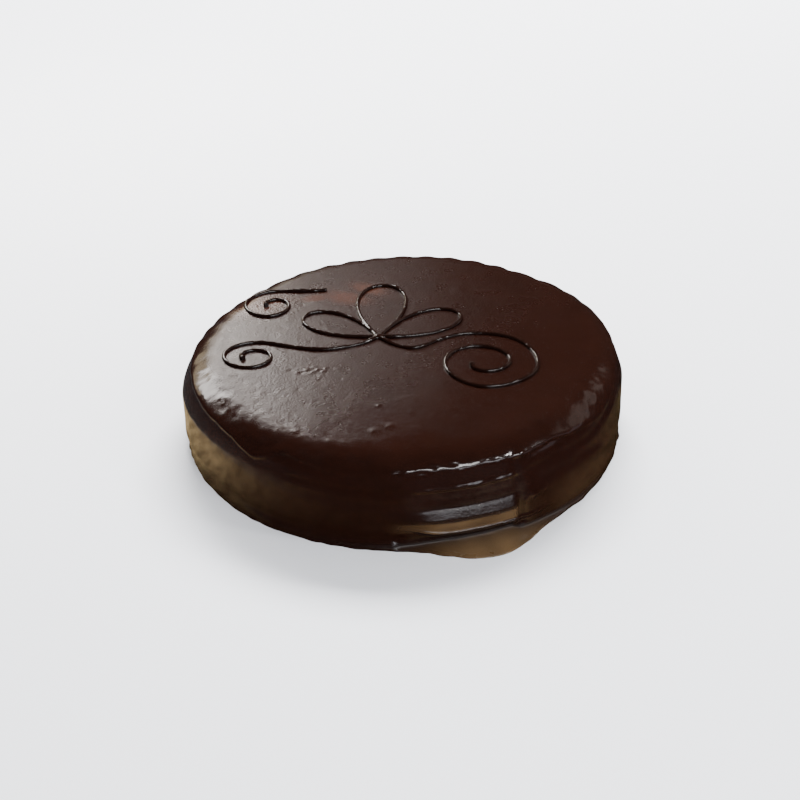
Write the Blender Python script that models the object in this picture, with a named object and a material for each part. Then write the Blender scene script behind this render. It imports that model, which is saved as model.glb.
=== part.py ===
"""A round chocolate torte under a poured glaze, with a piped chocolate flourish on top.

The origin is the centre of the underside, +Z is up and the seam of the glaze faces front right.
Angles round the cake are in degrees from the front, -Y, and grow towards +X.
"""

import math

import bmesh
import bpy
from mathutils import Vector

MM = 0.001

# The cake: the size over the glaze.
WALL_RADIUS = 0.120
HEIGHT = 0.054
TOP_RADIUS = 0.102
DOME_DROP = 0.0012
SHOULDER_DROP = 0.0160
SHOULDER_POWER = 2.1
FOOT_FLARE = 0.0014
FOOT_HEIGHT = 0.007

# How finely the cake is divided.
SECTORS = 90
DOME_RINGS = 4
SHOULDER_RINGS = 7
WALL_RINGS = 21
MERGE_DISTANCE = 1e-6

# Hand-glazed unevenness of the outline: angle, how far out, and width of each swelling or dent.
SWELLINGS = (
    (-130, -2.2 * MM, 22),
    (80, -1.5 * MM, 18),
    (118, 2.0 * MM, 20),
    (165, 0.8 * MM, 14),
    (-165, -0.6 * MM, 14),
)
# The bellies of the left and the right side, under the lip: angle, how far out, and width. They
# are full between two heights, fade out at the top, and keep a share at the foot.
BELLIES = (
    (-86, 4.4 * MM, 24),
    (92, 3.6 * MM, 17),
)
BELLY_LOW = 12 * MM
BELLY_HIGH = 34 * MM
BELLY_TOP = 52 * MM
BELLY_FOOT_SHARE = 0.25
# Where the wall's unevenness fades out below the top.
FADE_LOW = 48 * MM
FADE_HIGH = 53 * MM

# Ledges of the front right sector, where the glaze ran over the cut layers: height and how far out.
LEDGE_START = 3
LEDGE_END = 28.5
LEDGE_RUN_IN = 9
LEDGE_RUN_OUT = 2
LEDGES = (
    (0.0 * MM, -1.0 * MM),
    (5.5 * MM, -1.9 * MM),
    (7.5 * MM, 0.9 * MM),
    (9.5 * MM, -0.2 * MM),
    (14.0 * MM, 1.7 * MM),
    (21.0 * MM, -1.7 * MM),
    (28.0 * MM, -2.1 * MM),
    (34.0 * MM, -1.3 * MM),
    (36.0 * MM, 0.5 * MM),
    (38.0 * MM, -0.6 * MM),
    (44.0 * MM, -0.8 * MM),
    (46.0 * MM, 0.3 * MM),
    (50.0 * MM, 0.0 * MM),
)

# The groove under the lip, and the pool where the glaze ran out over the foot.
GROOVE_HEIGHT = 35.5 * MM
GROOVE_START = -34
GROOVE_END = 3
GROOVE_RUN = 10
GROOVE_DEPTH = 0.9 * MM
GROOVE_HALF_WIDTH = 2.5 * MM
POOL_ANGLE = 20
POOL_WIDTH = 13
POOL_OUT = 15.0 * MM
POOL_HEIGHT = 1.8 * MM
POOL_EDGE_POWER = 0.6

# The piped line.
LINE_WIDTH = 2.6 * MM
LINE_HEIGHT = 1.6 * MM
LINE_SIDES = 6
LINE_BULGE_POWER = 0.8
LINE_STEP = 4.0 * MM
LINE_GAP = 0.30 * MM
LIFT_STEP = 0.05 * MM
KNOT = (-14 * MM, 8 * MM)
KNOT_RADIUS = 3.0 * MM
KNOT_HEIGHT = 2.1 * MM
KNOT_STRETCH = 1.2
KNOT_SEGMENTS = 16
KNOT_RINGS = 8

GLAZE_COLOUR = (0.030, 0.012, 0.007, 1)
GLAZE_ROUGHNESS = 0.3
PIPING_COLOUR = (0.018, 0.007, 0.004, 1)
PIPING_ROUGHNESS = 0.25


def clear_scene():
    for obj in list(bpy.data.objects):
        bpy.data.objects.remove(obj, do_unlink=True)


def material(name, colour, roughness):
    made = bpy.data.materials.new(name)
    made.use_nodes = True
    shader = made.node_tree.nodes["Principled BSDF"]
    shader.inputs["Base Color"].default_value = colour
    shader.inputs["Roughness"].default_value = roughness
    shader.inputs["Metallic"].default_value = 0.0
    return made


def ease(value, start, end):
    """0 before start, 1 after end, and a smooth rise between them."""
    share = min(1.0, max(0.0, (value - start) / (end - start)))
    return share * share * (3 - 2 * share)


def hump(value, centre, width):
    """A bell of height 1 at the centre."""
    return math.exp(-(((value - centre) / width) ** 2))


def turn_from(angle, centre):
    """The difference of two angles, from -180 to 180 degrees."""
    return (angle - centre + 180) % 360 - 180


def interpolate(points, value):
    """The height of a broken line through the points, at this value."""
    if value <= points[0][0]:
        return points[0][1]
    for (low, at_low), (high, at_high) in zip(points, points[1:]):
        if value <= high:
            return at_low + (at_high - at_low) * (value - low) / (high - low)
    return points[-1][1]


# ---------------------------------------------------------------------------------------------
# The glazed cake


def plain_profile():
    """(radius, height) of the plain turned shape, from the centre of the top down to the foot."""
    points = []
    for i in range(DOME_RINGS + 1):
        share = i / DOME_RINGS
        points.append((TOP_RADIUS * share, HEIGHT - DOME_DROP * share**2))
    shoulder_top = HEIGHT - DOME_DROP
    for i in range(1, SHOULDER_RINGS + 1):
        turn = math.pi / 2 * i / SHOULDER_RINGS
        out = math.sin(turn) ** (2 / SHOULDER_POWER)
        down = 1 - math.cos(turn) ** (2 / SHOULDER_POWER)
        radius = TOP_RADIUS + (WALL_RADIUS - TOP_RADIUS) * out
        points.append((radius, shoulder_top - SHOULDER_DROP * down))
    wall_top = shoulder_top - SHOULDER_DROP
    for i in range(1, WALL_RINGS + 1):
        height = wall_top * (1 - i / WALL_RINGS)
        flare = FOOT_FLARE * (1 - ease(height, 0, FOOT_HEIGHT))
        points.append((WALL_RADIUS + flare, height))
    return points


def top_height(x, y):
    """The height of the top and shoulder over a point."""
    angle = math.degrees(math.atan2(x, -y))
    radius = math.hypot(x, y) / outline(angle)
    if radius <= TOP_RADIUS:
        return HEIGHT - DOME_DROP * (radius / TOP_RADIUS) ** 2
    out = min(1.0, (radius - TOP_RADIUS) / (WALL_RADIUS - TOP_RADIUS))
    share = (1 - out**SHOULDER_POWER) ** (1 / SHOULDER_POWER)
    return HEIGHT - DOME_DROP - SHOULDER_DROP * (1 - share)


def outline(angle):
    """The outline's radius at this angle, as a share of the round one."""
    out = sum(amount * hump(turn_from(angle, at), 0, width) for at, amount, width in SWELLINGS)
    return 1 + out / WALL_RADIUS


def wall_offset(angle, height):
    """How far out the wall stands past the plain shape at an angle and a height."""
    on_wall = 1 - ease(height, FADE_LOW, FADE_HIGH)
    belly = sum(out * hump(turn_from(angle, at), 0, width) for at, out, width in BELLIES)
    full = ease(height, 0, BELLY_LOW) * (1 - ease(height, BELLY_HIGH, BELLY_TOP))
    belly *= BELLY_FOOT_SHARE + (1 - BELLY_FOOT_SHARE) * full
    sector = ease(angle, LEDGE_START - LEDGE_RUN_IN, LEDGE_START + LEDGE_RUN_IN)
    sector *= 1 - ease(angle, LEDGE_END - LEDGE_RUN_OUT, LEDGE_END + LEDGE_RUN_OUT)
    ledges = sector * interpolate(LEDGES, height)
    along = ease(angle, GROOVE_START, GROOVE_START + GROOVE_RUN) * (1 - sector)
    along *= 1 - ease(angle, GROOVE_END, GROOVE_END + GROOVE_RUN)
    groove = -GROOVE_DEPTH * along * hump(height, GROOVE_HEIGHT, GROOVE_HALF_WIDTH)
    low = (1 - ease(height, 0, POOL_HEIGHT)) ** POOL_EDGE_POWER
    pool = POOL_OUT * hump(angle, POOL_ANGLE, POOL_WIDTH) * low
    return on_wall * (belly + ledges + groove) + pool


def make_cake():
    bm = bmesh.new()
    profile = [bm.verts.new((0, -radius, height)) for radius, height in plain_profile()]
    edges = [bm.edges.new(pair) for pair in zip(profile, profile[1:])]
    bmesh.ops.spin(
        bm,
        geom=profile + edges,
        cent=(0, 0, 0),
        axis=(0, 0, 1),
        angle=math.tau,
        steps=SECTORS,
        use_merge=True,
    )
    bmesh.ops.remove_doubles(bm, verts=bm.verts, dist=MERGE_DISTANCE)
    foot = [edge for edge in bm.edges if edge.is_boundary]
    bmesh.ops.contextual_create(bm, geom=foot)
    for vert in bm.verts:
        x, y, z = vert.co
        radius = math.hypot(x, y)
        if radius < MERGE_DISTANCE:
            continue
        angle = math.degrees(math.atan2(x, -y))
        reach = radius * outline(angle)
        if radius > TOP_RADIUS:
            reach += wall_offset(angle, z)
        vert.co = Vector((x, y, 0)) * (reach / radius) + Vector((0, 0, z))
    bmesh.ops.recalc_face_normals(bm, faces=bm.faces)
    mesh = bpy.data.meshes.new("cake")
    bm.to_mesh(mesh)
    bm.free()
    mesh.shade_smooth()
    cake = bpy.data.objects.new("cake", mesh)
    bpy.context.scene.collection.objects.link(cake)
    cake.data.materials.append(material("chocolate_glaze", GLAZE_COLOUR, GLAZE_ROUGHNESS))
    return cake


# ---------------------------------------------------------------------------------------------
# The piped flourish. Its sizes are in millimetres on the top, x to the right and y to the back.

# Each scroll sweeps by way of these points into a volute: its centre, its outer and inner radius,
# how deep it is for its width, and the angles where it starts and how far it turns.
SCROLLS = {
    "scroll_left": (((-14, 8), (-25, 0), (-43, -4), (-62, 0)), (-84, -9), 18, 4.5, 0.92, 62, 510),
    "scroll_right": (((-14, 8), (-5, -2), (7, -5)), (44, -22), 35, 7, 0.97, 131, -650),
    "curl": (((-44, 66), (-55, 65)), (-75, 49), 19, 4, 0.95, 75, 470),
}
VOLUTE_STEP = 20
# Each petal: its direction in degrees from the back, its length and its width.
PETALS = {"petal_left": (-57, 48, 23), "petal_back": (3, 60, 28), "petal_right": (61, 51, 25)}
PETAL_POINTS = 34
PETAL_ROOT = 1.5
PETAL_FULLNESS = 0.62
PETAL_TIP_POWER = 0.8
# The hand that piped it was not quite steady: how far the line strays, and over what length.
STRAY = 0.7
STRAY_LENGTH = 9
STRAY_ACROSS = 27
CURVE_STEPS = 20


def scroll_route(way, centre, outer, inner, depth, start, turn):
    """The points of a scroll, from its first point to the eye of its volute."""
    points = list(way)
    steps = round(abs(turn) / VOLUTE_STEP)
    for i in range(steps + 1):
        radius = outer + (inner - outer) * i / steps
        angle = math.radians(start + turn * i / steps)
        x = centre[0] + radius * math.cos(angle)
        points.append((x, centre[1] + depth * radius * math.sin(angle)))
    return points


def smooth_route(route, step):
    """Points at this step along a smooth curve through the route's own points."""
    points = [Vector(p) for p in route]
    ends = [2 * points[0] - points[1], *points, 2 * points[-1] - points[-2]]
    dense = []
    for before, a, b, after in zip(ends, ends[1:], ends[2:], ends[3:]):
        for i in range(CURVE_STEPS):
            t = i / CURVE_STEPS
            bend = 2 * a + (b - before) * t
            bend += (2 * before - 5 * a + 4 * b - after) * t**2
            bend += (3 * a - before - 3 * b + after) * t**3
            dense.append(bend / 2)
    dense.append(points[-1])
    walked = [0.0]
    for a, b in zip(dense, dense[1:]):
        walked.append(walked[-1] + (b - a).length)
    count = max(2, round(walked[-1] / step))
    made, at = [], 0
    for i in range(count + 1):
        goal = walked[-1] * i / count
        while at < len(walked) - 2 and walked[at + 1] < goal:
            at += 1
        share = (goal - walked[at]) / (walked[at + 1] - walked[at])
        point = dense[at].lerp(dense[at + 1], min(1.0, share))
        stray = STRAY * math.sin(goal / STRAY_LENGTH)
        made.append(point + Vector((stray, stray * math.cos(goal / STRAY_ACROSS))))
    return made


def petal_route(direction, length, width):
    """A closed teardrop that starts at the knot, in millimetres."""
    turn = math.radians(-direction)
    points = []
    for i in range(PETAL_POINTS):
        t = i / PETAL_POINTS
        along = length * (1 - math.cos(math.tau * t)) / 2 + PETAL_ROOT
        tip = math.sin(math.pi * t) ** PETAL_TIP_POWER
        across = width * PETAL_FULLNESS * math.sin(math.tau * t) * tip
        x = across * math.cos(turn) - along * math.sin(turn)
        y = across * math.sin(turn) + along * math.cos(turn)
        points.append(Vector((KNOT[0] / MM + x, KNOT[1] / MM + y)))
    return points


def line_section():
    """The flat-bottomed round section that all piped lines share, as a curve."""
    section = bpy.data.curves.new("line_section", "CURVE")
    section.dimensions = "2D"
    spline = section.splines.new("POLY")
    spline.points.add(LINE_SIDES - 1)
    for i, point in enumerate(spline.points):
        turn = math.pi * i / (LINE_SIDES - 1)
        rise = LINE_HEIGHT * math.sin(turn) ** LINE_BULGE_POWER
        point.co = (-LINE_WIDTH / 2 * math.cos(turn), rise, 0, 1)
    spline.use_cyclic_u = True
    guide = bpy.data.objects.new("line_section", section)
    bpy.context.scene.collection.objects.link(guide)
    guide.hide_render = True
    guide.display_type = "WIRE"
    return guide


def piped_line(name, points, section, chocolate, lift, closed=False):
    """One piped line that lies on the top along these points, which are in millimetres."""
    curve = bpy.data.curves.new(name, "CURVE")
    curve.dimensions = "3D"
    curve.twist_mode = "Z_UP"
    curve.bevel_mode = "OBJECT"
    curve.bevel_object = section
    curve.use_fill_caps = True
    spline = curve.splines.new("POLY")
    spline.points.add(len(points) - 1)
    for point, (x, y) in zip(spline.points, points):
        x, y = x * MM, y * MM
        point.co = (x, y, top_height(x, y) + lift, 1)
    spline.use_cyclic_u = closed
    drawn = bpy.data.objects.new(name + "_curve", curve)
    bpy.context.scene.collection.objects.link(drawn)
    graph = bpy.context.evaluated_depsgraph_get()
    mesh = bpy.data.meshes.new_from_object(drawn.evaluated_get(graph))
    bpy.data.objects.remove(drawn)
    line = bpy.data.objects.new(name, mesh)
    bpy.context.scene.collection.objects.link(line)
    bm = bmesh.new()
    bm.from_mesh(mesh)
    bmesh.ops.remove_doubles(bm, verts=bm.verts, dist=MERGE_DISTANCE)
    bmesh.ops.recalc_face_normals(bm, faces=bm.faces)
    bm.to_mesh(mesh)
    bm.free()
    mesh.materials.clear()
    mesh.materials.append(chocolate)
    return line


def make_knot(chocolate):
    """The drop in the middle, where the lines of the flourish meet."""
    bm = bmesh.new()
    bmesh.ops.create_uvsphere(
        bm, u_segments=KNOT_SEGMENTS, v_segments=KNOT_RINGS, radius=KNOT_RADIUS
    )
    bmesh.ops.scale(bm, vec=(KNOT_STRETCH, 1, KNOT_HEIGHT / KNOT_RADIUS), verts=bm.verts)
    halved = bmesh.ops.bisect_plane(
        bm,
        geom=bm.verts[:] + bm.edges[:] + bm.faces[:],
        plane_co=(0, 0, 0),
        plane_no=(0, 0, -1),
        clear_outer=True,
    )
    cut = [edge for edge in halved["geom_cut"] if isinstance(edge, bmesh.types.BMEdge)]
    bmesh.ops.contextual_create(bm, geom=cut)
    place = Vector((*KNOT, top_height(*KNOT) + LINE_GAP))
    bmesh.ops.translate(bm, vec=place, verts=bm.verts)
    bmesh.ops.recalc_face_normals(bm, faces=bm.faces)
    mesh = bpy.data.meshes.new("flourish")
    bm.to_mesh(mesh)
    bm.free()
    mesh.materials.append(chocolate)
    knot = bpy.data.objects.new("flourish", mesh)
    bpy.context.scene.collection.objects.link(knot)
    return knot


def join(whole, line):
    """Melts a piped line into the whole, and leaves the line itself as a helper."""
    union = whole.modifiers.new("with_" + line.name, "BOOLEAN")
    union.operation = "UNION"
    union.solver = "EXACT"
    union.use_self = True
    union.object = line
    line.hide_render = True
    line.display_type = "WIRE"


def make_piping():
    """The flourish, whose lines run together at the knot, and the curl that lies apart."""
    chocolate = material("piped_chocolate", PIPING_COLOUR, PIPING_ROUGHNESS)
    section = line_section()
    lift = LINE_GAP
    flourish = make_knot(chocolate)
    for name, scroll in SCROLLS.items():
        route = smooth_route(scroll_route(*scroll), LINE_STEP / MM)
        line = piped_line(name, route, section, chocolate, lift)
        if name != "curl":
            join(flourish, line)
            lift += LIFT_STEP
    for name, petal in PETALS.items():
        line = piped_line(name, petal_route(*petal), section, chocolate, lift, closed=True)
        join(flourish, line)
        lift += LIFT_STEP


clear_scene()
make_cake()
make_piping()
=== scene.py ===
"""The looks of a whole chocolate torte: its poured glaze, and the flourish piped on top of it.

Lengths are in metres, or in millimetres where a comment says so. Angles round the cake are in
degrees from the front, -Y, and grow towards +X.
"""

import math

import bmesh
import bpy
import numpy as np
from mathutils import Matrix, Quaternion, Vector, noise


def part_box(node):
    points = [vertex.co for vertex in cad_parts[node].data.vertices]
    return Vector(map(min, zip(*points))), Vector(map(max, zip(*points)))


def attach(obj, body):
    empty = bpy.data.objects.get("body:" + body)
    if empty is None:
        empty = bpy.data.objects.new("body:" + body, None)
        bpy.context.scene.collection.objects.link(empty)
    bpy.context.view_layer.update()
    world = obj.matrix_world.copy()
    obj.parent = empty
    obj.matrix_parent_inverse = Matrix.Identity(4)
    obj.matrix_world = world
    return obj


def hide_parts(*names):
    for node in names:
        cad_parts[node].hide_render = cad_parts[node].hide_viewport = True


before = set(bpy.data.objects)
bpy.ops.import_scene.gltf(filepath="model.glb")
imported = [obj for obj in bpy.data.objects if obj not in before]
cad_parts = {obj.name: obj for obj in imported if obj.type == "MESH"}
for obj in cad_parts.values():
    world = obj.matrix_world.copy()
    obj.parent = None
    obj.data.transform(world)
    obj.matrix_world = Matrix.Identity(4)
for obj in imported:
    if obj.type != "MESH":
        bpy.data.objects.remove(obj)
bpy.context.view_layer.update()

# ---------------------------------------------------------------------------------------------
# The camera: a long lens that looks down on the front of the cake, held very slightly askew.

CAMERA_PLACE = Vector((0.0, -0.9653, 0.6110))
CAMERA_AIM = Vector((-0.0027, 0.0075, 0.0128))
CAMERA_ROLL = math.radians(-1.435)
CAMERA_LENS = 90

camera = bpy.data.objects.new("camera", bpy.data.cameras.new("camera"))
camera.data.lens = CAMERA_LENS
camera.data.sensor_width = 36
camera.data.clip_start = 0.01
camera_turn = (CAMERA_AIM - CAMERA_PLACE).to_track_quat("-Z", "Y")
camera_turn = camera_turn @ Quaternion((0, 0, 1), CAMERA_ROLL)
camera.matrix_world = Matrix.LocRotScale(CAMERA_PLACE, camera_turn, None)
bpy.context.scene.collection.objects.link(camera)
bpy.context.scene.camera = camera

# ---------------------------------------------------------------------------------------------
# The studio: a pale paper floor in an even light room, with soft boxes round the cake.
# Gloss rays alone meet something else: a dim room, and on the floor a painted reflection, a glow
# like the gold foil that such cakes are set out on, which is not built. The stage does this, so
# the exported model lacks it.

FLOOR_SIZE = 12.0
FLOOR_COLOUR = "#f3f4f8"
ROOM_COLOUR = "#f2f4f8"
ROOM_LIGHT = 0.92
ROOM_IN_GLOSS_COLOUR = "#fff0e4"
ROOM_IN_GLOSS = 0.03
# The painted reflection of gold foil that the floor glows with for gloss rays: its reach from the
# centre, how far in and out its edge blurs, and its mottles, about 9 mm across, with how much they
# dim or brighten it.
PAINTED_FOIL_REFLECTION_COLOUR = "#f0d09a"
FOIL_REACH = 0.158
FOIL_BLUR_IN = 0.008
FOIL_BLUR_OUT = 0.004
FOIL_STRENGTH = 1.3
FOIL_MOTTLES_PER_METRE = 110.0
FOIL_MOTTLE = {"From Min": 0.38, "From Max": 0.62, "To Min": 0.55, "To Max": 1.2}
# Close to the foot the foil lies in the shade of the cake.
FOIL_SHADE_FROM = 0.122
FOIL_SHADE_TO = 0.140
FOIL_SHADE = 0.30
# How bright the painted foil reflection is round the cake: the share of a turn, which starts at
# the left and goes by the front, right and back, and the brightness there.
FOIL_ROUND = (
    (0.00, 0.9),
    (0.06, 0.95),
    (0.10, 0.50),
    (0.14, 0.18),
    (0.18, 0.08),
    (0.25, 0.06),
    (0.265, 0.40),
    (0.345, 0.70),
    (0.365, 0.12),
    (0.46, 0.10),
    (0.62, 0.12),
    (0.75, 0.15),
    (0.95, 0.9),
    (1.00, 0.9),
)
# Past the foil the floor glows for gloss rays as a painted reflection of the paper, only a dim
# grey.
PAPER_PAINTED_REFLECTION = 0.15


def linear(hex_colour):
    """The linear RGBA of an sRGB hex colour."""
    channels = [int(hex_colour[i : i + 2], 16) / 255 for i in (1, 3, 5)]
    return (*(c / 12.92 if c <= 0.04045 else ((c + 0.055) / 1.055) ** 2.4 for c in channels), 1)


def add_node(tree, kind, links=None, **settings):
    """Adds a node, sets its attributes and its inputs (by name or place), and links inputs."""
    node = tree.nodes.new(kind)
    for name, value in settings.pop("inputs", {}).items():
        node.inputs[name].default_value = value
    for name, value in settings.items():
        setattr(node, name, value)
    for name, output in (links or {}).items():
        tree.links.new(output, node.inputs[name])
    return node


def place_mesh(name, bm, surface):
    """Makes an object of a bmesh, with a material, smooth and at the origin."""
    mesh = bpy.data.meshes.new(name)
    bm.to_mesh(mesh)
    bm.free()
    mesh.materials.append(surface)
    mesh.shade_smooth()
    made = bpy.data.objects.new(name, mesh)
    bpy.context.scene.collection.objects.link(made)
    return made


# Background paper: a plain pale matt diffuse, but to gloss rays a glowing ring of gold foil, a
# painted reflection.
paper = bpy.data.materials.new("paper_with_painted_foil_reflection")
paper.use_nodes = True
tree = paper.node_tree
tree.nodes.clear()
path = add_node(tree, "ShaderNodeLightPath")
place = add_node(tree, "ShaderNodeTexCoord").outputs["Object"]
pale = add_node(tree, "ShaderNodeBsdfDiffuse", inputs={"Color": linear(FLOOR_COLOUR)})
turn = add_node(tree, "ShaderNodeTexGradient", gradient_type="RADIAL", links={"Vector": place})
foil_round = add_node(tree, "ShaderNodeValToRGB", links={"Fac": turn.outputs["Fac"]})
stops = foil_round.color_ramp.elements
for at, share in FOIL_ROUND[1:-1]:
    stops.new(at).color = (share, share, share, 1)
for stop, (at, share) in ((stops[0], FOIL_ROUND[0]), (stops[-1], FOIL_ROUND[-1])):
    stop.color = (share, share, share, 1)
reach = add_node(tree, "ShaderNodeVectorMath", operation="LENGTH", links={0: place})
foil_edge = {"From Min": FOIL_REACH - FOIL_BLUR_IN, "From Max": FOIL_REACH + FOIL_BLUR_OUT}
near = add_node(
    tree,
    "ShaderNodeMapRange",
    interpolation_type="SMOOTHSTEP",
    links={"Value": reach.outputs["Value"]},
    inputs=foil_edge,
)
near.inputs["To Min"].default_value = FOIL_STRENGTH
near.inputs["To Max"].default_value = PAPER_PAINTED_REFLECTION
mirrored = add_node(tree, "ShaderNodeMix", data_type="RGBA")
mirrored.inputs["A"].default_value = linear(PAINTED_FOIL_REFLECTION_COLOUR)
mirrored.inputs["B"].default_value = linear(FLOOR_COLOUR)
paper_share = add_node(
    tree,
    "ShaderNodeMapRange",
    links={"Value": reach.outputs["Value"]},
    inputs=foil_edge,
)
tree.links.new(paper_share.outputs["Result"], mirrored.inputs["Factor"])
lace = add_node(
    tree,
    "ShaderNodeTexNoise",
    links={"Vector": place},
    inputs={"Scale": FOIL_MOTTLES_PER_METRE, "Detail": 2.0},
)
lacy = add_node(
    tree,
    "ShaderNodeMapRange",
    links={"Value": lace.outputs["Fac"]},
    inputs=FOIL_MOTTLE,
)
shown = add_node(
    tree,
    "ShaderNodeMath",
    operation="MULTIPLY",
    links={0: near.outputs["Result"], 1: foil_round.outputs["Color"]},
)
shade = add_node(
    tree,
    "ShaderNodeMapRange",
    links={"Value": reach.outputs["Value"]},
    inputs={"From Min": FOIL_SHADE_FROM, "From Max": FOIL_SHADE_TO, "To Min": FOIL_SHADE},
)
shaded = add_node(
    tree,
    "ShaderNodeMath",
    operation="MULTIPLY",
    links={0: shown.outputs[0], 1: shade.outputs["Result"]},
)
painted_reflection_glow = add_node(
    tree,
    "ShaderNodeMath",
    operation="MULTIPLY",
    links={0: shaded.outputs[0], 1: lacy.outputs["Result"]},
)
# The glow that gloss rays see: a painted reflection of gold foil near the cake and of dim paper
# past it.
painted_foil_reflection = add_node(
    tree,
    "ShaderNodeEmission",
    links={"Strength": painted_reflection_glow.outputs[0], "Color": mirrored.outputs["Result"]},
)
seen = {0: path.outputs["Is Glossy Ray"], 1: pale.outputs[0], 2: painted_foil_reflection.outputs[0]}
paper_mix = add_node(tree, "ShaderNodeMixShader", links=seen)
add_node(tree, "ShaderNodeOutputMaterial", links={"Surface": paper_mix.outputs[0]})

bm = bmesh.new()
bmesh.ops.create_grid(bm, x_segments=1, y_segments=1, size=FLOOR_SIZE / 2)
floor = place_mesh("floor", bm, paper)

world = bpy.data.worlds.new("studio_room")
bpy.context.scene.world = world
world.use_nodes = True
tree = world.node_tree
tree.nodes.clear()
path = add_node(tree, "ShaderNodeLightPath")
lit = {"Color": linear(ROOM_COLOUR), "Strength": ROOM_LIGHT}
seen = {"Color": linear(ROOM_IN_GLOSS_COLOUR), "Strength": ROOM_IN_GLOSS}
room_lit = add_node(tree, "ShaderNodeBackground", inputs=lit)
room_seen = add_node(tree, "ShaderNodeBackground", inputs=seen)
room = add_node(
    tree,
    "ShaderNodeMixShader",
    links={0: path.outputs["Is Glossy Ray"], 1: room_lit.outputs[0], 2: room_seen.outputs[0]},
)
add_node(tree, "ShaderNodeOutputWorld", links={"Surface": room.outputs[0]})

# Each soft box: its place, what it points at, its width and height, its power, its colour, and
# whether it shows in gloss.
SOFT_BOXES = {
    "back_left_box": ((-0.32, 0.50, 0.395), (-0.06, 0.0, 0.05), 0.42, 0.15, 2.28, "#fffaf6", True),
    "left_low_box": ((-0.33, 0.50, 0.25), (-0.06, 0.0, 0.05), 0.46, 0.11, 0.4, "#f3e0bc", True),
    "back_fill_box": ((-0.08, 0.55, 0.32), (0.0, 0.0, 0.05), 0.20, 0.20, 0.10, "#fffaf6", True),
    "front_right_box": ((0.42, -0.86, 0.84), (0.03, -0.1, 0.04), 0.60, 0.18, 6.5, "#ffffff", True),
    "side_right_box": ((1.02, -0.42, 0.98), (0.05, -0.1, 0.04), 0.13, 0.20, 4.5, "#ffffff", True),
    "side_low_panel": ((1.20, -0.20, 0.46), (0.08, -0.05, 0.02), 0.90, 0.30, 0.5, "#ebe4f0", True),
    "right_box": ((0.95, 0.45, 0.62), (0.0, 0.0, 0.05), 0.70, 0.45, 0.6, "#fff4ea", True),
    "front_low_panel": ((0.62, -1.10, 0.54), (0.05, 0.0, 0.02), 1.30, 0.20, 4.0, "#f4f8ff", True),
    "backdrop_box": ((0.25, 1.6, 1.6), (0.15, 1.1, 0.0), 1.6, 0.8, 220.0, "#ffffff", False),
}
for name, (at, aim, width, height, power, colour, in_gloss) in SOFT_BOXES.items():
    lamp = bpy.data.lights.new(name, "AREA")
    lamp.shape = "RECTANGLE"
    lamp.size = width
    lamp.size_y = height
    lamp.energy = power
    lamp.color = linear(colour)[:3]
    box = bpy.data.objects.new(name, lamp)
    box.visible_glossy = in_gloss
    box.visible_camera = False
    turn = (Vector(aim) - Vector(at)).to_track_quat("-Z", "Y")
    box.matrix_world = Matrix.LocRotScale(Vector(at), turn, None)
    bpy.context.scene.collection.objects.link(box)

# ---------------------------------------------------------------------------------------------
# The cake: chocolate sponge under a poured glaze of dark chocolate and sugar that has set.
# The glaze ran over the edge in a soft lip, left ledges where it ran over the cut layers at the
# front right, and spread in a thin pool at the foot. It is one turned form, pushed in and out.

MM = 0.001
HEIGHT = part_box("cake")[1][2] / MM
WALL_RADIUS = 120.0
TOP_RADIUS = 102.0
DOME_DROP = 1.2
SHOULDER_DROP = 16.0
SHOULDER_POWER = 2.1
FOOT_FLARE = 1.4
FOOT_HEIGHT = 7.0

# How finely the turned profile is divided, in millimetres, and the number of steps round it.
SECTORS = 480
TOP_STEP_INNER = 3.0
TOP_STEP_OUTER = 1.05
TOP_FINE_FROM = 40.0
SHOULDER_RINGS = 44
WALL_STEP = 0.62
FOOT_RINGS = 8
FOOT_FINE_TO = 2.6

# Swellings and dents of the outline: angle, how far out, and width in degrees.
SWELLINGS = (
    (-130, -2.2, 22),
    (80, -1.5, 18),
    (118, 2.0, 20),
    (165, 0.8, 14),
    (-165, -0.6, 14),
)
# The bellies of the left and the right side, under the lip: angle, how far out, width, and the
# heights between which they fade out. They keep a share at the foot.
BELLIES = (
    (-86, 4.4, 24, 32, 44),
    (92, 3.6, 17, 30, 41),
)
BELLY_LOW = 12
BELLY_FOOT_SHARE = 0.25
BELLY_TOP_FADE = 8

# Layers of unevenness, each with how far out it goes, how long its humps are, its seed, and how
# it is stretched: of the height of every mark on the side, of the side, of the folds and dimples
# of the shoulder, of the top, of the top's rim, and of the line where satin turns to gloss.
EVEN = (1, 1, 1)
WAVER = ((0.45, 17.0, 3.0, EVEN), (0.12, 5.0, 9.0, EVEN))
SIDE_LAYERS = ((0.35, 30.0, 21.0, EVEN), (0.10, 7.0, 5.0, (1, 1, 0.5)))
FOLDS = ((0.45, 12.0, 13.0, (1, 1, 1.6)), (0.35, 4.5, 27.0, EVEN))
DIMPLES = ((0.55, 8.0, 43.0, (1, 1, 1.3)), (0.25, 3.4, 47.0, EVEN))
TOP_LAYERS = ((0.16, 45.0, 2.0, EVEN), (0.05, 14.0, 6.0, EVEN))
RIM_LAYERS = ((0.09, 3.8, 31.0, EVEN), (0.08, 7.5, 35.0, EVEN))
RAGGED_LAYERS = ((3.0, 8.0, 51.0, EVEN), (1.5, 3.5, 53.0, EVEN))

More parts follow.
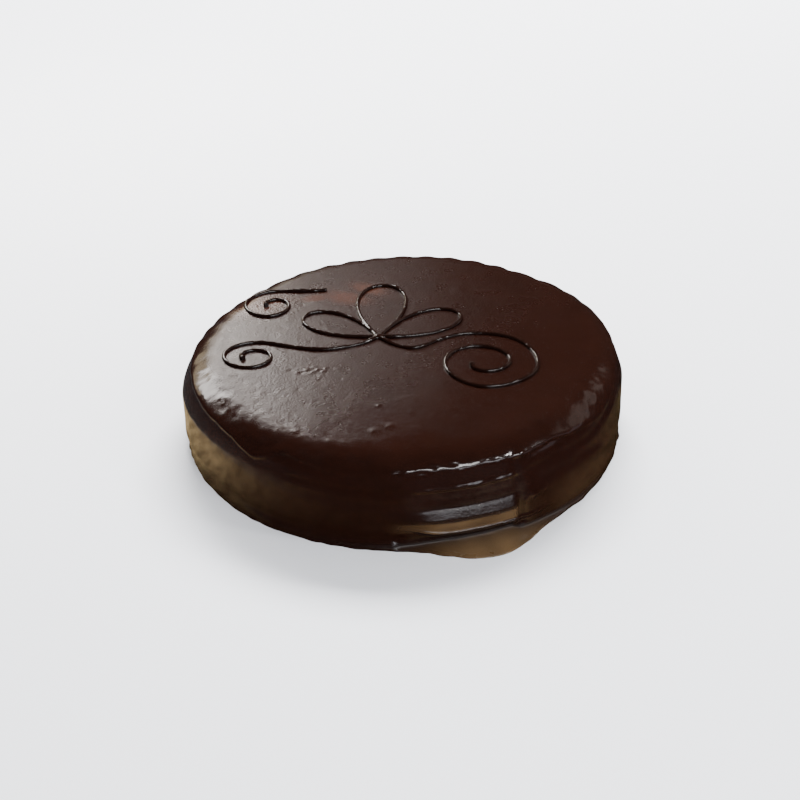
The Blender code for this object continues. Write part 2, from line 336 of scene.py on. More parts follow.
# The ledges at the front right: height and how far out, between two angles.
LEDGE_START = 1
LEDGE_END = 28.6
LEDGE_RUN_IN = 8
LEDGE_RUN_OUT = 1.3
LEDGES = (
    (0.0, -0.8),
    (0.6, -1.5),
    (1.8, -3.6),
    (4.8, -3.8),
    (6.2, -2.8),
    (7.4, 0.7),
    (8.2, 0.9),
    (9.2, -0.2),
    (16.4, 1.8),
    (17.6, 2.2),
    (21.8, 0.1),
    (23.2, -0.9),
    (28.6, -1.1),
    (33.8, -1.0),
    (34.9, -0.2),
    (35.6, 0.0),
    (36.4, -0.45),
    (37.6, -0.95),
    (39.5, -1.1),
    (44.6, 0.1),
    (46.2, 0.4),
    (48.4, 0.3),
    (50.0, 0.0),
)
# How far the low ledges rise towards their left end: the heights between which the rise sets in
# and dies away, then angle and rise.
LEDGE_RISE_LOW = (1, 9)
LEDGE_RISE_HIGH = (11, 19)
LEDGE_RISE = ((-6, 4.6), (1, 4.2), (5, 2.2), (8, 0.7), (12, 0.0), (22, 0.2), (29, -0.9))
# Wrinkles of the ledge under the lip: how far out, how long, and round which height.
WRINKLE_OUT = 0.45
WRINKLE_LENGTH = 3.4
WRINKLE_HEIGHT = 35.6
WRINKLE_HALF_WIDTH = 2.4

# The lower edge of the lip round the cake: angle and height. It stands proud by LIP_OUT.
LIP_EDGE = (
    (-180, 45.5),
    (-140, 44.5),
    (-100, 46.0),
    (-77, 46.1),
    (-57, 44.9),
    (-50, 43.8),
    (-42, 39.6),
    (-38, 41.5),
    (-34, 46.6),
    (-30, 46.4),
    (-22, 44.6),
    (-14, 43.0),
    (-4, 44.6),
    (2, 46.0),
    (13, 45.4),
    (20, 46.4),
    (28, 44.0),
    (39, 46.0),
    (50, 43.0),
    (62, 40.5),
    (80, 43.0),
    (110, 45.0),
    (150, 44.0),
    (180, 45.5),
)
LIP_OUT = 0.75
LIP_SOFTNESS = 0.8
# How far its edge strays, over what length, and how high it returns to the plain side.
LIP_STRAY = 0.9
LIP_STRAY_LENGTH = 9.0
LIP_RETURN = 6.0
# How deep the side is hollowed under it.
LIP_HOLLOW = 0.6
# On the left the lip hangs over further, with a rounder and calmer lower edge.
LEFT_LIP_ANGLE = -68
LEFT_LIP_WIDTH = 28
LEFT_LIP_OUT = 1.6
LEFT_LIP_SOFTNESS = 0.9
LEFT_LIP_CALM = 0.6

# The drops that hang along the lip at the front right: between which angles they set in and die
# away, how far above the edge, how far out, and the finer drips on them.
BEADS_FROM = (-16, 4)
BEADS_TO = (30, 35)
BEAD_ABOVE_EDGE = 1.8
BEAD_OUT = 0.55
BEAD_LENGTH = 9.0
BEAD_HALF_WIDTH = 2.6
DRIP_OUT = 0.75
DRIP_LENGTH = 4.8
FINE_DRIP_SHARE = 0.4
FINE_DRIP_LENGTH = 2.6

# Drops that set on the side: angle, height, how far out, and radius.
SIDE_DROPS = (
    (31.2, 17.4, 0.7, 1.6),
    (33.6, 19.6, 0.9, 1.7),
    (36.2, 21.4, 1.0, 1.3),
    (-35.2, 1.6, 0.9, 1.6),
    (-3.7, 2.4, 0.8, 1.5),
    (-24, 5.0, 0.5, 1.8),
    (47, 29, 0.5, 1.8),
    (7.5, 49.2, 0.45, 1.2),
    (12.5, 49.8, 0.5, 1.2),
    (18.8, 50.0, 0.6, 1.4),
    (27.4, 50.6, 0.5, 1.0),
    (29.4, 48.4, 0.5, 1.3),
    (30.9, 49.3, 0.55, 1.2),
    (32.0, 47.9, 0.5, 1.2),
    (30.2, 47.2, 0.4, 1.1),
)

# Creases and ridges that run along the side: points of angle and height, out, and half width.
# Each runs out over this many degrees at both ends.
SIDE_LINE_RUN_OUT = 5
SIDE_LINES = (
    (((-33, 36.6), (-20, 35.4), (-6, 34.6), (2, 35.2)), -0.9, 1.3),
    (((-34, 33.0), (-20, 32.2), (-6, 31.6), (2, 32.0)), 0.35, 2.6),
    (((29, 19.0), (38, 21.5), (51, 22.5), (62, 19.0), (76, 12.0)), 1.2, 3.6),
    (((29, 35.0), (40, 37.5), (55, 35.5), (75, 37.0)), -0.8, 3.2),
    (((25, 7.8), (31, 7.4), (36, 7.6), (42, 9.4)), 0.8, 1.0),
    (((-60, 9.0), (-40, 7.5), (-20, 7.0), (0, 6.5)), -0.5, 2.4),
    (((100, 30.0), (130, 27.0), (160, 31.0), (179, 29.0)), -0.5, 3.5),
    (((-179, 29.0), (-150, 33.0), (-125, 30.0)), -0.5, 3.5),
)
# The seam where the ledges end. It leans by so many degrees for each millimetre up.
SEAM_ANGLE = 29.3
SEAM_LEAN = 0.05
SEAM_MIDDLE = 20
SEAM_LOW = (1, 8)
SEAM_WIDTH = 0.9
SEAM_DEPTH = 1.1
SEAM_HIGH = (41.0, 47.0)

# The thin pool that ran out over the foot at the front right.
POOL_ANGLE = 20
POOL_WIDTH = 13
POOL_OUT = 15.5
POOL_HEIGHT = 1.8
POOL_EDGE_POWER = 0.6
# The fringe all round the foot.
FRINGE_OUT = 1.4
FRINGE_LENGTH = 11.0
FRINGE_EDGE_POWER = 0.8

# Scallops of the rim: how long, how deep, and the heights where they set in and die away. They
# are full only behind, past these angles from the front, and keep a share there.
SCALLOP_LENGTH = 17.0
SCALLOP_DEPTH = 0.45
SCALLOP_LOW = (40, 46)
SCALLOP_HIGH = (50.5, 53)
SCALLOP_FRONT = 10
SCALLOP_BEHIND = (95, 130)
SCALLOP_FRONT_SHARE = 0.12
# Folds of the shoulder, fullest at the front left, and dimples at the right: angle and width.
SHOULDER_RADII = (100, 110)
SHOULDER_HEIGHTS = (41, 45)
FOLD_ANGLE = -38
FOLD_WIDTH = 42
FOLD_SHARE = 0.75
DIMPLE_ANGLE = 68
DIMPLE_WIDTH = 28
# Where the rim of the top is uneven: between two radii, and round an angle.
RIM_FROM = (84, 104)
RIM_ANGLE = -35
RIM_WIDTH = 50

# Lumps (up) and pits (down) of the glaze: x and y on the top, height, and radius.
LUMPS = (
    (-58, -86, 0.25, 2.2),
    (-8, -84, 0.5, 1.8),
    (-16, -88, 0.45, 2.2),
    (-40, -96, 0.25, 2.4),
    (33, 63, 0.2, 4.0),
    (-53, -25, 0.5, 1.0),
    (-50, -27.5, 0.4, 0.9),
    (-47, -25, 0.45, 1.0),
    (-44, -27, 0.4, 0.9),
    (-43, -24, 0.35, 1.0),
    (-56, -28, -0.35, 1.0),
    (-62, -25, -0.3, 1.0),
    (-49, -22, 0.3, 0.8),
    (62, -88, 0.6, 2.4),
    (70, -80, 0.5, 2.2),
    (96, -52, 0.45, 2.6),
    (95, 75, 2.4, 2.4),
    (103, 56, 0.8, 3.0),
    (-14, -64, 0.35, 1.1),
    (3, -71, 0.3, 1.0),
)
PORE_COUNT = 190
PORE_SEED = 11


def ease(value, start, end):
    """0 before start, 1 after end, and a smooth rise between them."""
    share = np.clip((value - start) / (end - start), 0.0, 1.0)
    return share * share * (3 - 2 * share)


def hump(value, centre, width):
    """A bell of height 1 at the centre."""
    return np.exp(-(((value - centre) / width) ** 2))


def turn_from(angle, centre):
    """The difference of two angles, from -180 to 180 degrees."""
    return (angle - centre + 180) % 360 - 180


def along(points, value):
    """The height of a broken line through the points."""
    return np.interp(value, [p[0] for p in points], [p[1] for p in points])


def grain(points, length, seed=0.0, stretch=(1, 1, 1)):
    """Smooth noise from -1 to 1 at these points, with humps about this long."""
    scale = np.array(stretch) / length
    moved = points * scale + seed
    return np.array([noise.noise(Vector(p)) for p in moved])


def layered(points, layers):
    """The sum of these layers of grain."""
    return sum(out * grain(points, *layer) for out, *layer in layers)


def outline(angle):
    """The outline's radius at this angle, as a share of the round one."""
    out = sum(amount * hump(turn_from(angle, at), 0, width) for at, amount, width in SWELLINGS)
    return 1 + out / WALL_RADIUS


def glaze_profile():
    """(radius, height) in millimetres from the centre of the top down to the foot."""
    radii = [*np.arange(0, TOP_FINE_FROM, TOP_STEP_INNER)]
    radii += [*np.arange(TOP_FINE_FROM, TOP_RADIUS, TOP_STEP_OUTER)]
    points = [(r, HEIGHT - DOME_DROP * (r / TOP_RADIUS) ** 2) for r in radii]
    shoulder_top = HEIGHT - DOME_DROP
    for i in range(SHOULDER_RINGS + 1):
        turn = math.pi / 2 * i / SHOULDER_RINGS
        out = math.sin(turn) ** (2 / SHOULDER_POWER)
        down = 1 - max(0.0, math.cos(turn)) ** (2 / SHOULDER_POWER)
        radius = TOP_RADIUS + (WALL_RADIUS - TOP_RADIUS) * out
        points.append((radius, shoulder_top - SHOULDER_DROP * down))
    wall_top = shoulder_top - SHOULDER_DROP
    wall = [*np.arange(wall_top - WALL_STEP, FOOT_FINE_TO, -WALL_STEP)]
    wall += [FOOT_FINE_TO * (1 - i / FOOT_RINGS) for i in range(FOOT_RINGS + 1)]
    for height in wall:
        flare = FOOT_FLARE * (1 - ease(height, 0, FOOT_HEIGHT))
        points.append((WALL_RADIUS + flare, height))
    return points


def ledge_share(angle):
    """1 in the sector with the ledges, 0 away from it."""
    sector = ease(angle, LEDGE_START - LEDGE_RUN_IN, LEDGE_START + LEDGE_RUN_IN)
    return sector * (1 - ease(angle, LEDGE_END - LEDGE_RUN_OUT, LEDGE_END + LEDGE_RUN_OUT))


def side_relief(angle, height, points):
    """How far out the side stands past the plain turned shape, in millimetres."""
    high = height + layered(points, WAVER)
    relief = 0.0
    for at, out, width, fade_from, fade_to in BELLIES:
        full = ease(height, 0, BELLY_LOW) * (1 - ease(height, fade_from, fade_to))
        full = BELLY_FOOT_SHARE + (1 - BELLY_FOOT_SHARE) * full
        full *= 1 - ease(height, fade_to, fade_to + BELLY_TOP_FADE)
        relief += out * full * hump(turn_from(angle, at), 0, width)
    sector = ledge_share(angle)
    risen = along(LEDGE_RISE, angle) * ease(height, *LEDGE_RISE_LOW)
    risen *= 1 - ease(height, *LEDGE_RISE_HIGH)
    relief += sector * along(LEDGES, high - risen)
    wrinkles = WRINKLE_OUT * grain(points, WRINKLE_LENGTH, 81.0, (1, 1, 1.5))
    relief += sector * wrinkles * hump(height, WRINKLE_HEIGHT, WRINKLE_HALF_WIDTH)
    left = hump(turn_from(angle, LEFT_LIP_ANGLE), 0, LEFT_LIP_WIDTH)
    stray = LIP_STRAY * (1 - LEFT_LIP_CALM * left)
    edge = along(LIP_EDGE, angle) + stray * grain(points, LIP_STRAY_LENGTH, 17.0, (1, 1, 0.1))
    softness = LIP_SOFTNESS + LEFT_LIP_SOFTNESS * left
    over = ease(height, edge - softness, edge + softness)
    fade = 1 - ease(height, edge + 1.0, edge + LIP_RETURN)
    hollow = -LIP_HOLLOW * (1 - over) * ease(height, edge - LIP_RETURN, edge - 1)
    relief += (1 - sector) * ((LIP_OUT + LEFT_LIP_OUT * left) * over * fade + (1 - left) * hollow)
    hanging = ease(angle, *BEADS_FROM) * (1 - ease(angle, *BEADS_TO))
    hanging *= hump(height, edge + BEAD_ABOVE_EDGE, BEAD_HALF_WIDTH)
    relief += hanging * BEAD_OUT * (0.6 + 0.8 * grain(points, BEAD_LENGTH, 71.0, (1, 1, 0)))
    relief += hanging * DRIP_OUT * grain(points, DRIP_LENGTH, 73.0, (1, 1, 1.5))
    relief += hanging * FINE_DRIP_SHARE * DRIP_OUT * grain(points, FINE_DRIP_LENGTH, 75.0)
    for at, up, out, drop_radius in SIDE_DROPS:
        aside = (angle - at) * math.radians(WALL_RADIUS)
        relief += out * np.exp(-((height - up) ** 2 + aside**2) / drop_radius**2)
    for line, out, half_width in SIDE_LINES:
        ends = ease(angle, line[0][0], line[0][0] + SIDE_LINE_RUN_OUT)
        ends *= 1 - ease(angle, line[-1][0] - SIDE_LINE_RUN_OUT, line[-1][0])
        relief += out * ends * hump(high, along(line, angle), half_width)
    seam = hump(angle + SEAM_LEAN * (height - SEAM_MIDDLE), SEAM_ANGLE, SEAM_WIDTH)
    relief -= SEAM_DEPTH * seam * (1 - ease(height, *SEAM_HIGH)) * ease(height, *SEAM_LOW)
    return relief + layered(points, SIDE_LAYERS)


def foot_spread(angle, height, points):
    """How far the glaze ran out over the foot, in millimetres."""
    low = 1 - ease(height, 0, POOL_HEIGHT)
    pool = POOL_OUT * hump(angle, POOL_ANGLE, POOL_WIDTH) * low**POOL_EDGE_POWER
    fringe = FRINGE_OUT * np.abs(grain(points, FRINGE_LENGTH, 33.0, (1, 1, 0)))
    return pool + fringe * low**FRINGE_EDGE_POWER


def rim_relief(angle, height, radius, points):
    """Scallops and wrinkles where the top turns over into the side, in millimetres."""
    waves = math.tau * WALL_RADIUS / SCALLOP_LENGTH
    phase = np.radians(angle) * round(waves) + 2.2 * grain(points, 40.0, 8.0)
    rim = ease(height, *SCALLOP_LOW) * (1 - ease(height, *SCALLOP_HIGH))
    uneven = 0.5 + 0.9 * np.abs(grain(points, 23.0, 61.0))
    behind = ease(np.abs(turn_from(angle, SCALLOP_FRONT)), *SCALLOP_BEHIND)
    behind = SCALLOP_FRONT_SHARE + (1 - SCALLOP_FRONT_SHARE) * behind
    scallop = SCALLOP_DEPTH * rim * behind * uneven * np.cos(phase)
    front_left = hump(turn_from(angle, FOLD_ANGLE), 0, FOLD_WIDTH)
    wrinkle = ease(radius, *SHOULDER_RADII) * ease(height, *SHOULDER_HEIGHTS)
    folds = layered(points, FOLDS)
    right = hump(turn_from(angle, DIMPLE_ANGLE), 0, DIMPLE_WIDTH)
    dimples = layered(points, DIMPLES)
    return scallop + wrinkle * (FOLD_SHARE * folds * (0.2 + 0.8 * front_left) + dimples * right)


def top_relief(x, y, points):
    """The slow swell of the poured top, with its lumps, pits and pores, in millimetres."""
    flat = points * np.array([1, 1, 0])
    relief = layered(flat, TOP_LAYERS)
    front_left = hump(turn_from(np.degrees(np.arctan2(x, -y)), RIM_ANGLE), 0, RIM_WIDTH)
    relief += ease(np.hypot(x, y), *RIM_FROM) * front_left * layered(flat, RIM_LAYERS)
    for at_x, at_y, rise, radius in LUMPS:
        relief += rise * np.exp(-((x - at_x) ** 2 + (y - at_y) ** 2) / radius**2)
    draw = np.random.default_rng(PORE_SEED)
    for _ in range(PORE_COUNT):
        angle = math.radians(draw.normal(-50, 45))
        radius = 112 * math.sqrt(draw.uniform(0.15, 1))
        at_x, at_y = radius * math.sin(angle), -radius * math.cos(angle)
        size, depth = draw.uniform(0.8, 1.5), draw.choice((-0.16, 0.14)) * draw.uniform(0.4, 1)
        relief += depth * np.exp(-((x - at_x) ** 2 + (y - at_y) ** 2) / size**2)
    return relief


# Poured chocolate glaze: near black brown, satin on top where it set in the air, and glossy on the
# side where it ran thick. Where it is thin, the brown sponge shows through, and the same light
# olive brown also paints in a gold reflection on the bands, the pool and the low sides.
GLAZE_DARK = "#160805"
GLAZE_BROWN = "#1e0d08"
GLAZE_THIN_AND_REFLECTION = "#70583b"
PATCH_BROWN = "#32190f"
PATCH_ROUGHNESS_CHANGE = -0.13
SATIN_ROUGHNESS = 0.29
GLOSS_ROUGHNESS = 0.13
# Thin patches on the top: x, y, half length, half width, and turn in degrees.
THIN_PATCHES = (
    (-83, 51, 15, 9, 28),
    (-33, 57, 12, 6, -25),
    (-20, 67, 10, 5, -35),
    (-52, 58, 7, 3.5, 10),
)


def glaze_material():
    """The glaze, thin and satin where the mesh's attributes say so; the thin colour also paints in
    a gold reflection.
    """
    made = bpy.data.materials.new("poured_chocolate_glaze")
    made.use_nodes = True
    tree = made.node_tree
    shader = tree.nodes["Principled BSDF"]
    shader.inputs["IOR"].default_value = 1.5
    place = add_node(tree, "ShaderNodeTexCoord").outputs["Object"]
    thin_and_reflection = add_node(tree, "ShaderNodeAttribute", attribute_name="thin_glaze_and_reflection").outputs["Fac"]
    patch = add_node(tree, "ShaderNodeAttribute", attribute_name="thin_patch").outputs["Fac"]
    satin = add_node(tree, "ShaderNodeAttribute", attribute_name="satin").outputs["Fac"]

    # Cloudy colour, with clouds 25 mm across, and mottled thin patches with 1.5 mm grains.
    clouds = add_node(
        tree,
        "ShaderNodeTexNoise",
        links={"Vector": place},
        inputs={"Scale": 1 / (25 * MM), "Detail": 4.0, "Roughness": 0.6},
    )
    body = add_node(
        tree,
        "ShaderNodeMix",
        data_type="RGBA",
        links={"Factor": clouds.outputs["Fac"]},
    )
    body.inputs["A"].default_value = linear(GLAZE_DARK)
    body.inputs["B"].default_value = linear(GLAZE_BROWN)
    # Light brown where the glaze is thin, which also paints in a gold reflection on the bands, the
    # pool and the low sides.
    run = add_node(
        tree,
        "ShaderNodeMix",
        data_type="RGBA",
        links={"Factor": thin_and_reflection, "A": body.outputs["Result"]},
    )
    run.inputs["B"].default_value = linear(GLAZE_THIN_AND_REFLECTION)
    mottle = add_node(
        tree,
        "ShaderNodeTexNoise",
        links={"Vector": place},
        inputs={"Scale": 1 / (1.5 * MM), "Detail": 3.0, "Roughness": 0.7},
    )
    specks = add_node(
        tree,
        "ShaderNodeMapRange",
        links={"Value": mottle.outputs["Fac"]},
        inputs={"From Min": 0.28, "From Max": 0.52},
    )
    patchy = add_node(
        tree,
        "ShaderNodeMath",
        operation="MULTIPLY",
        links={0: patch, 1: specks.outputs["Result"]},
    )
    skin = add_node(
        tree,
        "ShaderNodeMix",
        data_type="RGBA",
        links={"Factor": patchy.outputs[0], "A": run.outputs["Result"]},
    )
    skin.inputs["B"].default_value = linear(PATCH_BROWN)
    tree.links.new(skin.outputs["Result"], shader.inputs["Base Color"])

    # Satin on top and gloss on the side, both a little uneven, and glossier thin patches. The
    # satin attribute goes up to 3 low at the foot, where the groove is dull, so no clamp.
    uneven = add_node(
        tree,
        "ShaderNodeTexNoise",
        links={"Vector": place},
        inputs={"Scale": 1 / (9 * MM), "Detail": 3.0},
    )
    spread = add_node(
        tree,
        "ShaderNodeMapRange",
        links={"Value": uneven.outputs["Fac"]},
        inputs={"From Min": 0.3, "From Max": 0.7, "To Min": -0.03, "To Max": 0.03},
    )
    finish = add_node(
        tree,
        "ShaderNodeMapRange",
        links={"Value": satin},
        clamp=False,
        inputs={"To Min": GLOSS_ROUGHNESS, "To Max": SATIN_ROUGHNESS},
    )
    rough = add_node(
        tree,
        "ShaderNodeMath",
        operation="ADD",
        links={0: finish.outputs["Result"], 1: spread.outputs["Result"]},
    )
    patched = add_node(
        tree,
        "ShaderNodeMath",
        operation="MULTIPLY_ADD",
        links={0: patchy.outputs[0], 2: rough.outputs[0]},
        inputs={1: PATCH_ROUGHNESS_CHANGE},
    )
    tree.links.new(patched.outputs[0], shader.inputs["Roughness"])

    # Fine pores and the faint orange peel of set sugar glaze, 1.2 mm and 4 mm apart.
    peel = add_node(
        tree,
        "ShaderNodeTexNoise",
        links={"Vector": place},
        inputs={"Scale": 1 / (1.2 * MM), "Detail": 1.0, "Roughness": 0.5},
    )
    swell = add_node(
        tree,
        "ShaderNodeTexNoise",
        links={"Vector": place},
        inputs={"Scale": 1 / (4.0 * MM), "Detail": 2.0},
    )
    peel_strength = add_node(
        tree,
        "ShaderNodeMapRange",
        links={"Value": satin},
        inputs={"To Min": 0.03, "To Max": 0.40},
    )
    fine = add_node(
        tree,
        "ShaderNodeBump",
        links={"Height": peel.outputs["Fac"], "Strength": peel_strength.outputs["Result"]},
        inputs={"Distance": 0.3 * MM},
    )
    broad = add_node(
        tree,
        "ShaderNodeBump",
        links={"Height": swell.outputs["Fac"], "Normal": fine.outputs["Normal"]},
        inputs={"Strength": 0.10, "Distance": 0.8 * MM},
    )
    tree.links.new(broad.outputs["Normal"], shader.inputs["Normal"])
    return made


bm = bmesh.new()
profile = [bm.verts.new((0, -radius, height)) for radius, height in glaze_profile()]
edges = [bm.edges.new(pair) for pair in zip(profile, profile[1:])]
bmesh.ops.spin(
    bm,
    geom=profile + edges,
    cent=(0, 0, 0),
    axis=(0, 0, 1),
    angle=math.tau,
    steps=SECTORS,
    use_merge=True,
)
bmesh.ops.remove_doubles(bm, verts=bm.verts, dist=0.001)
bmesh.ops.contextual_create(bm, geom=[edge for edge in bm.edges if edge.is_boundary])
bmesh.ops.recalc_face_normals(bm, faces=bm.faces)
bm.normal_update()
points = np.array([vert.co for vert in bm.verts])
normals = np.array([vert.normal for vert in bm.verts])
glazed = place_mesh("glazed_torte", bm, glaze_material())

x, y, height = points.T
radius = np.hypot(x, y)
angle = np.degrees(np.arctan2(x, -y))
aside = np.stack([np.sin(np.radians(angle)), -np.cos(np.radians(angle)), 0 * angle], axis=1)
on_side = ease(radius, TOP_RADIUS - 2, TOP_RADIUS + 8)
on_top = 1 - ease(radius, TOP_RADIUS + 4, WALL_RADIUS - 4)
side_fade = 1 - ease(height, HEIGHT - 5, HEIGHT - 1.5)
side = on_side * side_fade * side_relief(angle, height, points)
spread = on_side * foot_spread(angle, height, points)
rim = rim_relief(angle, height, radius, points)
top = on_top * top_relief(x, y, points)
lifted = np.where(height < 0.01, 0.0, 1.0)
moved = points * np.stack([outline(angle), outline(angle), np.ones_like(angle)], axis=1)
moved += aside * (side + spread)[:, None]
moved += normals * ((rim + top) * lifted)[:, None]
glazed.data.vertices.foreach_set("co", (moved * MM).ravel())

# Where the glaze is thin, and where a gold reflection is painted in with the same colour: on the
# undercut bands, in the pool, and low on the side. Then where it is satin: on the top to a ragged
# line, in blotches at the front left, and on the ledges.
bands = ledge_share(angle) * (ease(height, 8.4, 9.6) * (1 - ease(height, 14.6, 16.4)))
pooled = hump(angle, POOL_ANGLE, POOL_WIDTH) * (1 - ease(height, 0.8, 2.6))
low_right = 0.30 * ease(angle, 33, 50) * (1 - ease(angle, 80, 110)) * hump(height, 9, 9)
low_left = 0.15 * hump(turn_from(angle, -62), 0, 30) * hump(height, 22, 12)
streaks = 0.65 + 0.35 * grain(points, 12.0, 41.0, (1, 1, 3))
thin_and_reflection = np.clip((0.6 * bands + 1.0 * pooled + 0.5 * low_right + 0.5 * low_left) * streaks, 0, 1)
patch = np.zeros_like(x)
for at_x, at_y, half_length, half_width, turned in THIN_PATCHES:
    cosine, sine = math.cos(math.radians(turned)), math.sin(math.radians(turned))
    across = ((x - at_x) * cosine + (y - at_y) * sine) / half_length
    deep = ((y - at_y) * cosine - (x - at_x) * sine) / half_width
    patch = np.maximum(patch, np.minimum(1.0, 1.6 * np.exp(-(across**2 + deep**2))))
ragged = radius + layered(points, RAGGED_LAYERS)
ragged -= 6.0 * hump(turn_from(angle, 68), 0, 34)
ragged += 20.0 * hump(turn_from(angle, 4), 0, 20) + 4.0 * hump(turn_from(angle, -66), 0, 16)
satin = (1 - ease(ragged, 108, 114)) * (1 - 0.6 * ease(0.7 * x - 0.7 * y, 0, 80))
blotches = ease(grain(points, 6.0, 57.0), -0.1, 0.4) * (1 - ease(radius, 116, 119))
satin = np.maximum(satin, 0.65 * blotches * hump(turn_from(angle, -38), 0, 30))
shelf = ease(height, 15, 16.5) * (1 - ease(height, 23, 26))
satin = np.maximum(satin, 0.8 * ledge_share(angle) * shelf)
satin = np.maximum(satin, 0.35 * ledge_share(angle) * hump(height, 35.4, 1.6))
satin = np.maximum(satin, hump(turn_from(angle, 24), 0, 32) * (1 - ease(height, 2.6, 3.8)))
satin = np.maximum(satin, 3.0 * hump(turn_from(angle, 22), 0, 36) * hump(height, 2.0, 1.2))
for name, values in (("thin_glaze_and_reflection", thin_and_reflection), ("thin_patch", patch), ("satin", satin)):
    attribute = glazed.data.attributes.new(name, "FLOAT", "POINT")
    attribute.data.foreach_set("value", values)

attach(glazed, "root")
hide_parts("cake")

# ---------------------------------------------------------------------------------------------
# The flourish and the curl: dark chocolate piped by hand from a paper cone on to the set glaze.
# The line is round, thicker where the hand slowed, and its strands melt together where they meet.

LINE_RADIUS = 1.2
# The line lies this deep in the glaze, and deeper by this share of what is left of its radius.
LINE_SINK = 0.35
LINE_SINK_SHARE = 0.5
LINE_STEP = 1.6
KNOT_RADIUS = 2.2
VOXEL = 0.34
SMOOTHING = 6
SMOOTH_FACTOR = 0.5
KNOT = (-14, 8)
KNOT_STRETCH = (1.25, 1.0, 0.8)
KNOT_LIFT = 0.2
# Each scroll sweeps by way of these points into a volute: its centre, its outer and inner radius,
# how deep it is for its width, and the angles where it starts and how far it turns.
SCROLLS = {
    "scroll_left": (((-14, 8), (-25, 0), (-43, -4), (-62, 0)), (-84, -9), 18, 4.5, 0.92, 62, 510),
    "scroll_right": (((-14, 8), (-5, -2), (7, -5)), (44, -22), 35, 7, 0.97, 131, -650),
    "curl": (((-44, 66), (-55, 65)), (-75, 49), 19, 4, 0.95, 75, 470),
}
VOLUTE_STEP = 20
# Each petal: its direction in degrees from the back, its length and its width.
PETALS = {"petal_left": (-57, 48, 23), "petal_back": (3, 60, 28), "petal_right": (61, 51, 25)}
PETAL_POINTS = 34
PETAL_ROOT = 1.5
PETAL_FULLNESS = 0.62
PETAL_TIP_POWER = 0.8
# The hand that piped it was not quite steady: how far the line strays, and over what length.
STRAY = 0.7
STRAY_LENGTH = 9
CURVE_STEPS = 20
# How unevenly thick it is: a share and a length, twice, then the blob at an open end.
SLOW_UNEVEN = (0.22, 11)
FAST_UNEVEN = (0.10, 3.5)
END_BLOB = 0.45
END_BLOB_LENGTH = 2.2


def top_height(x, y):
    """The height of the top and shoulder over a point, in millimetres."""
    angle = math.degrees(math.atan2(x, -y))
    radius = math.hypot(x, y) / outline(angle)
    if radius <= TOP_RADIUS:
        return HEIGHT - DOME_DROP * (radius / TOP_RADIUS) ** 2
    out = min(1.0, (radius - TOP_RADIUS) / (WALL_RADIUS - TOP_RADIUS))
    share = (1 - out**SHOULDER_POWER) ** (1 / SHOULDER_POWER)
    return HEIGHT - DOME_DROP - SHOULDER_DROP * (1 - share)


def scroll_route(way, centre, outer, inner, depth, start, turn):
    """The points of a scroll, from its first point to the eye of its volute."""
    route = list(way)
    steps = round(abs(turn) / VOLUTE_STEP)
    for i in range(steps + 1):
        reach = outer + (inner - outer) * i / steps
        at = math.radians(start + turn * i / steps)
        route.append((centre[0] + reach * math.cos(at), centre[1] + depth * reach * math.sin(at)))
    return route


def petal_route(direction, length, width):
    """A closed teardrop that starts at the knot."""
    turn = math.radians(-direction)
    route = []
    for i in range(PETAL_POINTS + 1):
        t = i / PETAL_POINTS
        out = length * (1 - math.cos(math.tau * t)) / 2 + PETAL_ROOT
        bow = width * PETAL_FULLNESS * math.sin(math.tau * t)
        bow *= abs(math.sin(math.pi * t)) ** PETAL_TIP_POWER
        x = bow * math.cos(turn) - out * math.sin(turn)
        y = bow * math.sin(turn) + out * math.cos(turn)
        route.append((KNOT[0] + x, KNOT[1] + y))
    return route


def smooth_route(route, step, stray):
    """Points at this step along a smooth curve through the route's own points."""
    given = [Vector(p) for p in route]
    ends = [2 * given[0] - given[1], *given, 2 * given[-1] - given[-2]]
    dense = []
    for before, a, b, after in zip(ends, ends[1:], ends[2:], ends[3:]):
        for i in range(CURVE_STEPS):
            t = i / CURVE_STEPS
            bend = 2 * a + (b - before) * t
            bend += (2 * before - 5 * a + 4 * b - after) * t**2
            bend += (3 * a - before - 3 * b + after) * t**3
            dense.append(bend / 2)
    dense.append(given[-1])
    lengths = [0.0, *np.cumsum([(b - a).length for a, b in zip(dense, dense[1:])])]
    goals = np.linspace(0, lengths[-1], max(2, round(lengths[-1] / step)) + 1)
    made = np.stack([np.interp(goals, lengths, [p[i] for p in dense]) for i in (0, 1)], axis=1)
    shake = stray * np.sin(goals / STRAY_LENGTH)
    return made + np.stack([shake, shake * np.cos(goals / STRAY_LENGTH / 3)], axis=1)


def thickness(count, seed, open_ended):
    """How thick each point of a line is, as a share: uneven, with a blob at each open end."""
    run = np.arange(count) * LINE_STEP
    uneven = np.ones(count)
    for (share, length), layer in ((SLOW_UNEVEN, 0), (FAST_UNEVEN, 5)):
        uneven *= [1 + share * noise.noise(Vector((s / length, seed, layer))) for s in run]
    if open_ended:
        uneven *= 1 + END_BLOB * hump(run, run[-1], END_BLOB_LENGTH)
    return uneven


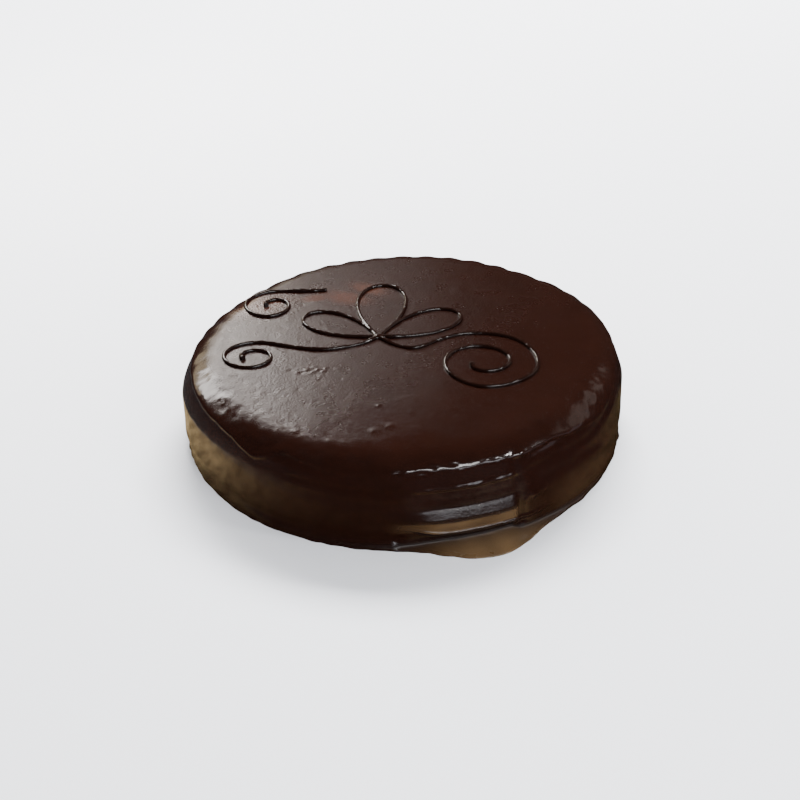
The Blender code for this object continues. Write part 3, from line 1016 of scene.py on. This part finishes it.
def piped_line(points, thick):
    """A round line of chocolate that lies on the top along these points."""
    curve = bpy.data.curves.new("piped_line", "CURVE")
    curve.dimensions = "3D"
    curve.bevel_depth = LINE_RADIUS * MM
    curve.bevel_resolution = 3
    curve.use_fill_caps = True
    spline = curve.splines.new("POLY")
    spline.points.add(len(points) - 1)
    for point, (x, y), share in zip(spline.points, points, thick):
        z = top_height(x, y) + LINE_RADIUS * share
        z = z - LINE_SINK - (LINE_RADIUS - LINE_SINK) * LINE_SINK_SHARE
        point.co = (x * MM, y * MM, z * MM, 1)
        point.radius = share
    drawn = bpy.data.objects.new("piped_line", curve)
    bpy.context.scene.collection.objects.link(drawn)
    graph = bpy.context.evaluated_depsgraph_get()
    mesh = bpy.data.meshes.new_from_object(drawn.evaluated_get(graph))
    bpy.data.objects.remove(drawn)
    return mesh


def melted(name, meshes, chocolate):
    """One piece of these meshes, with their strands run together and smoothed."""
    bm = bmesh.new()
    for mesh in meshes:
        bm.from_mesh(mesh)
        bpy.data.meshes.remove(mesh)
    raw = place_mesh(name + "_raw", bm, chocolate)
    remesh = raw.modifiers.new("melt", "REMESH")
    remesh.mode = "VOXEL"
    remesh.voxel_size = VOXEL * MM
    remesh.use_smooth_shade = True
    smooth = raw.modifiers.new("smooth", "SMOOTH")
    smooth.factor = SMOOTH_FACTOR
    smooth.iterations = SMOOTHING
    graph = bpy.context.evaluated_depsgraph_get()
    mesh = bpy.data.meshes.new_from_object(raw.evaluated_get(graph))
    bpy.data.objects.remove(raw)
    mesh.name = name
    mesh.shade_smooth()
    if not mesh.materials:
        mesh.materials.append(chocolate)
    made = bpy.data.objects.new(name, mesh)
    bpy.context.scene.collection.objects.link(made)
    return made


# Piped couverture: pure dark chocolate that set with a high gloss, darker than the glaze.
CHOCOLATE_DARK = "#150a07"

piped_chocolate = bpy.data.materials.new("piped_dark_couverture")
piped_chocolate.use_nodes = True
tree = piped_chocolate.node_tree
shader = tree.nodes["Principled BSDF"]
shader.inputs["IOR"].default_value = 1.5
place = add_node(tree, "ShaderNodeTexCoord").outputs["Object"]
cloudy = add_node(
    tree,
    "ShaderNodeTexNoise",
    links={"Vector": place},
    inputs={"Scale": 1 / (7 * MM), "Detail": 3.0},
)
tone = add_node(tree, "ShaderNodeMix", data_type="RGBA", links={"Factor": cloudy.outputs["Fac"]})
tone.inputs["A"].default_value = linear(CHOCOLATE_DARK)
tone.inputs["B"].default_value = linear(GLAZE_DARK)
tree.links.new(tone.outputs["Result"], shader.inputs["Base Color"])
sheen = add_node(
    tree,
    "ShaderNodeMapRange",
    links={"Value": cloudy.outputs["Fac"]},
    inputs={"From Min": 0.3, "From Max": 0.7, "To Min": 0.10, "To Max": 0.16},
)
tree.links.new(sheen.outputs["Result"], shader.inputs["Roughness"])

strands = []
for seed, (name, scroll) in enumerate(SCROLLS.items()):
    route = smooth_route(scroll_route(*scroll), LINE_STEP, STRAY)
    line = piped_line(route, thickness(len(route), seed, True))
    if name == "curl":
        curl = melted("piped_curl", [line], piped_chocolate)
    else:
        strands.append(line)
for seed, petal in enumerate(PETALS.values(), len(SCROLLS)):
    route = smooth_route(petal_route(*petal), LINE_STEP, 0.0)
    strands.append(piped_line(route, thickness(len(route), seed, False)))
bm = bmesh.new()
bmesh.ops.create_uvsphere(bm, u_segments=24, v_segments=12, radius=KNOT_RADIUS * MM)
bmesh.ops.scale(bm, vec=KNOT_STRETCH, verts=bm.verts)
bmesh.ops.translate(bm, vec=Vector((*KNOT, top_height(*KNOT) + KNOT_LIFT)) * MM, verts=bm.verts)
knot = bpy.data.meshes.new("knot")
bm.to_mesh(knot)
bm.free()
flourish = melted("piped_flourish", [*strands, knot], piped_chocolate)

for piece, node in ((flourish, "flourish"), (curl, "curl")):
    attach(piece, "root")
    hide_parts(node)
